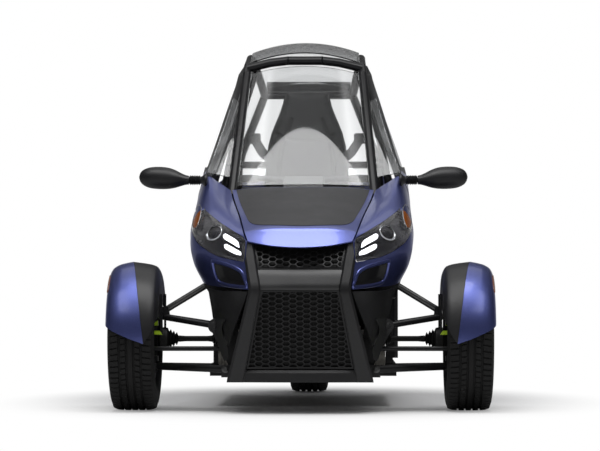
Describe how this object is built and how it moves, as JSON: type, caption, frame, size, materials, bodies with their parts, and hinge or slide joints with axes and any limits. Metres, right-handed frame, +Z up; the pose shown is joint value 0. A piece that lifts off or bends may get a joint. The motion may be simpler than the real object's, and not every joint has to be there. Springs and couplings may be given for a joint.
{
  "type": "three wheeled car",
  "caption": "Three wheeled open-frame electric car: two steered front wheels on wishbones, one rear wheel on a swing arm, seats in line under a clear cabin with hinged doors.",
  "frame": {"origin": "middle of the overall box on the ground", "axes": "-Y is forward, +Z is up, +X is the car's left side"},
  "size_m": [1.562, 2.87, 1.6019],
  "materials": {
    "paint": "metallic gloss",
    "clear_glass": "clear",
    "tinted_glass": "tinted",
    "tyre": "matt",
    "wheel_metal": "satin black",
    "seat_cover": "matt black",
    "black_metal": "satin black",
    "cast_metal": "cast",
    "steel": "dark",
    "lime_metal": "satin",
    "lamp_lens": "gloss",
    "red_lens": "gloss",
    "black_plastic": "satin"
  },
  "bodies": {
    "chassis": {"main_frame": "black_metal", "battery_box": "black_plastic", "floor_tub": "black_plastic", "drive_unit": "cast_metal", "roll_cage": "black_metal", "roof_panel": "tinted_glass", "windshield": "clear_glass", "quarter_windows": "clear_glass", "hood": "paint", "nose_cheeks": "paint", "headlamps": "lamp_lens", "vent_pods": "black_plastic", "front_bumper": "black_plastic", "bumper_panel": "black_plastic", "lower_grille": "black_plastic", "upper_grille": "black_plastic", "lower_cowls": "black_plastic", "dashboard": "black_plastic", "driver_seat": "seat_cover", "passenger_seat": "seat_cover", "upper_wishbones": "black_metal", "lower_wishbones": "black_metal", "pushrods": "steel", "half_shafts": "steel", "rear_crossbeam": "paint", "quarter_panels": "paint", "rear_deck": "paint", "tail_panel": "black_plastic", "tail_lamps": "red_lens", "swing_arm": "black_metal", "rear_shock": "steel", "rear_fender": "black_plastic", "mirrors": "black_plastic"},
    "steering": {"handlebar": "black_metal"},
    "rack": {"steering_rack": "steel"},
    "left_knuckle_body": {"left_knuckle": "lime_metal", "left_fender": "paint", "left_fender_liner": "black_plastic"},
    "right_knuckle_body": {"right_knuckle": "lime_metal", "right_fender": "paint", "right_fender_liner": "black_plastic"},
    "left_front_wheel": {"left_tyre": "tyre", "left_wheel": "wheel_metal"},
    "right_front_wheel": {"right_tyre": "tyre", "right_wheel": "wheel_metal"},
    "rear_wheel_body": {"rear_tyre": "tyre", "rear_wheel": "wheel_metal"},
    "left_door_body": {"left_door": "paint", "left_door_glass": "clear_glass"},
    "right_door_body": {"right_door": "paint", "right_door_glass": "clear_glass"}
  },
  "joints": [
    {"name": "steer", "type": "hinge", "parent": "chassis", "child": "steering", "pos_m": [0, -0.61, 0.64], "axis": [0, 0.443, 0.8965], "range_deg": [-24, 24]},
    {"name": "rack_slide", "type": "slide", "parent": "chassis", "child": "rack", "axis": [1, 0, 0], "range_m": [-0.065, 0.065]},
    {"name": "left_steer", "type": "hinge", "parent": "chassis", "child": "left_knuckle_body", "pos_m": [0.594, -1.016, 0.289], "axis": [0, 0, 1], "range_deg": [-30.5, 30.5]},
    {"name": "right_steer", "type": "hinge", "parent": "chassis", "child": "right_knuckle_body", "pos_m": [-0.594, -1.016, 0.289], "axis": [0, 0, 1], "range_deg": [-30.5, 30.5]},
    {"name": "left_front_spin", "type": "hinge", "parent": "left_knuckle_body", "child": "left_front_wheel", "pos_m": [0.672, -1.016, 0.289], "axis": [1, 0, 0], "continuous": true},
    {"name": "right_front_spin", "type": "hinge", "parent": "right_knuckle_body", "child": "right_front_wheel", "pos_m": [-0.672, -1.016, 0.289], "axis": [1, 0, 0], "continuous": true},
    {"name": "rear_spin", "type": "hinge", "parent": "chassis", "child": "rear_wheel_body", "pos_m": [0, 1.016, 0.289], "axis": [1, 0, 0], "continuous": true},
    {"name": "left_door_hinge", "type": "hinge", "parent": "chassis", "child": "left_door_body", "pos_m": [0.438, -0.55735, 0.75], "axis": [0, 0, -1], "range_deg": [0, 65]},
    {"name": "right_door_hinge", "type": "hinge", "parent": "chassis", "child": "right_door_body", "pos_m": [-0.438, -0.55735, 0.75], "axis": [0, 0, 1], "range_deg": [0, 65]}
  ],
  "couplings": [
    {"joint": "left_steer", "follows": "steer", "ratio": 1.25},
    {"joint": "right_steer", "follows": "steer", "ratio": 1.25},
    {"joint": "rack_slide", "follows": "steer", "m_per_rad": 0.13011}
  ]
}
